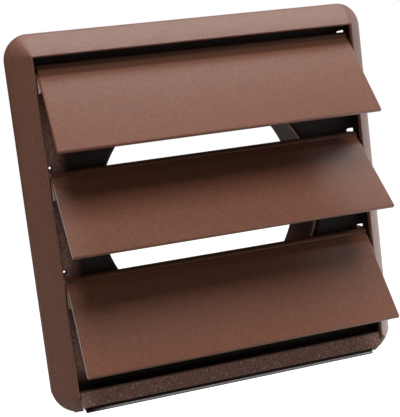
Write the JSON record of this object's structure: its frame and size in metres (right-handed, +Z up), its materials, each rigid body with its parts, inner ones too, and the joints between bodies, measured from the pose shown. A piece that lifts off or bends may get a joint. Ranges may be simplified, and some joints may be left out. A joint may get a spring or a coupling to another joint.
{
  "type": "gravity wall vent",
  "caption": "Square moulded wall vent with hanging gravity flaps under a bevelled cover, in front of a round duct collar.",
  "frame": {"origin": "where the duct axis meets the wall plane, which is the plane of the vent's rear rim", "axes": "+Y into the wall along the duct axis, +Z up, +X to the right as seen from in front of the vent"},
  "size_m": [0.14, 0.0666, 0.1417],
  "materials": {
    "cover_brown": "smooth satin moulding",
    "box_brown": "spark-eroded grain",
    "collar_brown": "smooth moulding",
    "flap_brown": "smooth satin moulding"
  },
  "bodies": {
    "housing": {"surround": "cover_brown", "shutter_box": "box_brown", "duct_collar": "collar_brown"},
    "top_flap": {"flap_top": "flap_brown"},
    "middle_flap": {"flap_middle": "flap_brown"},
    "bottom_flap": {"flap_bottom": "flap_brown"}
  },
  "joints": [
    {"name": "top_flap_hinge", "type": "hinge", "parent": "housing", "child": "top_flap", "pos_m": [0, -0.0119, 0.0579], "axis": [-1, 0, 0], "range_deg": [-35.7, 35.7]},
    {"name": "middle_flap_hinge", "type": "hinge", "parent": "housing", "child": "middle_flap", "pos_m": [0, -0.0119, 0.01925], "axis": [-1, 0, 0], "range_deg": [-42.6, 28.8]},
    {"name": "bottom_flap_hinge", "type": "hinge", "parent": "housing", "child": "bottom_flap", "pos_m": [0, -0.0119, -0.0194], "axis": [-1, 0, 0], "range_deg": [-32.6, 38.8]}
  ]
}
